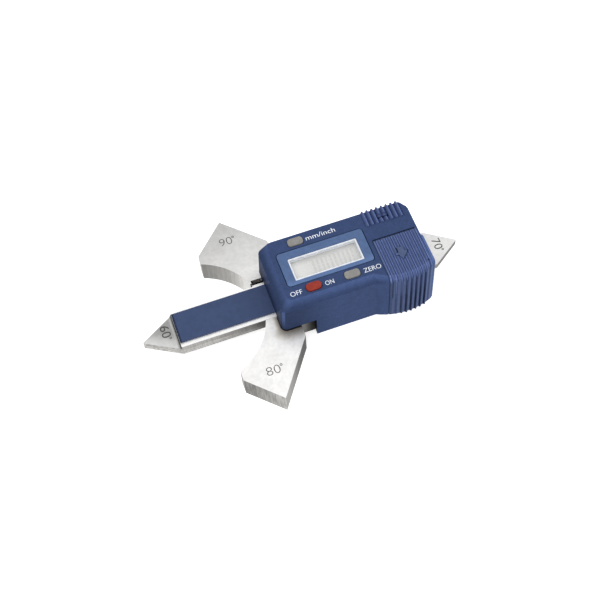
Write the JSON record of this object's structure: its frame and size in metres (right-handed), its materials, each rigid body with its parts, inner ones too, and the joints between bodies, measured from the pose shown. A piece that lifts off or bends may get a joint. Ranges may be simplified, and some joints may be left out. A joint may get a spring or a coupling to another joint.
{
  "type": "digital weld gauge",
  "caption": "Digital weld gauge: flat steel body with two pointed arms, a sliding beam with pointed ends, and a plastic head with display, keys and ribbed grip.",
  "frame": {"origin": "on the flat back of the steel body, on the beam's centre line, 35 mm behind the plane of the two feet", "axes": "+X along the beam from the 60 degree point to the 70 degree point, +Y towards the 90 degree arm, +Z out of the display"},
  "size_m": [0.1302, 0.0843, 0.0274],
  "materials": {
    "steel": "ground satin",
    "screw_steel": "satin",
    "blue_plastic": "fine moulded texture",
    "panel_blue": "smooth",
    "label_blue": "printed film",
    "white_plastic": "smooth",
    "lens": "clear",
    "display": "reflective liquid crystal glass",
    "connector_rubber": "matt",
    "grey_key": "matt",
    "red_key": "matt",
    "black_plastic": "matt",
    "circuit_board": "solder mask",
    "cell_steel": "bright",
    "contact_brass": "plated"
  },
  "bodies": {
    "gauge_body": {"angle_body": "steel", "gib_strip": "steel", "gib_screw_1": "screw_steel", "gib_screw_2": "screw_steel", "head_cover": "blue_plastic", "head_screw_1": "screw_steel", "head_screw_2": "screw_steel", "head_screw_3": "screw_steel", "head_screw_4": "screw_steel", "window_panel": "panel_blue", "lcd_bezel": "white_plastic", "window_lens": "lens", "lcd_glass": "display", "lcd_connector_front": "connector_rubber", "lcd_connector_rear": "connector_rubber", "unit_switch": "black_plastic", "zero_switch": "black_plastic", "power_switch": "black_plastic", "main_board": "circuit_board", "board_screw_1": "screw_steel", "board_screw_2": "screw_steel", "board_screw_3": "screw_steel", "sensor_board": "circuit_board", "board_header": "black_plastic", "controller_chip": "black_plastic", "data_port": "black_plastic", "coin_cell": "cell_steel", "battery_contact_negative": "contact_brass", "battery_contact_positive": "contact_brass"},
    "beam_slider": {"beam": "steel", "beam_stop_pin": "screw_steel", "scale_board": "circuit_board", "scale_label": "label_blue"},
    "unit_key": {"unit_button": "grey_key"},
    "zero_key": {"zero_button": "grey_key"},
    "power_key": {"power_button": "red_key"},
    "battery_door": {"battery_cover": "blue_plastic"},
    "port_door": {"port_cover": "blue_plastic"}
  },
  "joints": [
    {"name": "beam_slide", "type": "slide", "parent": "gauge_body", "child": "beam_slider", "axis": [1, 0, 0], "range_m": [-0.006, 0.038]},
    {"name": "unit_press", "type": "slide", "parent": "gauge_body", "child": "unit_key", "axis": [0, 0, -1], "range_m": [0, 0.0005], "stiffness_N_per_m": 1500, "springref_m": -0.0002},
    {"name": "zero_press", "type": "slide", "parent": "gauge_body", "child": "zero_key", "axis": [0, 0, -1], "range_m": [0, 0.0005], "stiffness_N_per_m": 1500, "springref_m": -0.0002},
    {"name": "power_press", "type": "slide", "parent": "gauge_body", "child": "power_key", "axis": [0, 0, -1], "range_m": [0, 0.0005], "stiffness_N_per_m": 1500, "springref_m": -0.0002},
    {"name": "battery_cover_slide", "type": "slide", "parent": "gauge_body", "child": "battery_door", "axis": [0, -1, 0], "range_m": [0, 0.022]},
    {"name": "port_cover_slide", "type": "slide", "parent": "gauge_body", "child": "port_door", "axis": [0, 1, 0], "range_m": [0, 0.006]}
  ]
}
